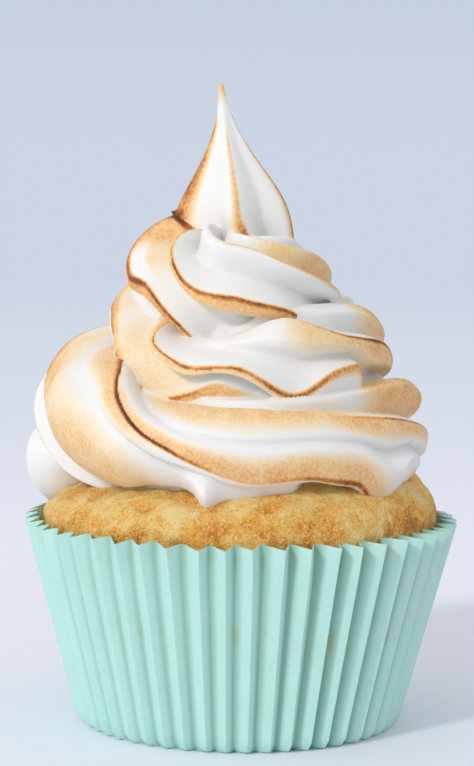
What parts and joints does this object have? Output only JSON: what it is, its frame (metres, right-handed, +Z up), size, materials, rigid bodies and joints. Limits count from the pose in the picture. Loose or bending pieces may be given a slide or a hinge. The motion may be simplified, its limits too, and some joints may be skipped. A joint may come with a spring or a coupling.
{
  "type": "lemon meringue cupcake",
  "caption": "Golden cupcake in a pleated mint paper case, topped with a tall piped meringue swirl with torch-browned ridges and a drawn-up peak.",
  "frame": {"origin": "centre of the paper case's flat base, on the surface it stands on", "axes": "+Z up through the swirl, +Y away from the side the picture shows, +X to that side's right"},
  "size_m": [0.068, 0.0678, 0.0985],
  "materials": {
    "paper_case": "matte pleated baking paper, faint grain and grease spots",
    "cake": "baked crumb crust, golden with browner patches, dry and uneven",
    "meringue": "satin white meringue, toasted tan to dark brown along its ridges"
  },
  "bodies": {
    "root": {"paper_case": "paper_case", "cake": "cake", "meringue": "meringue"}
  },
  "joints": []
}
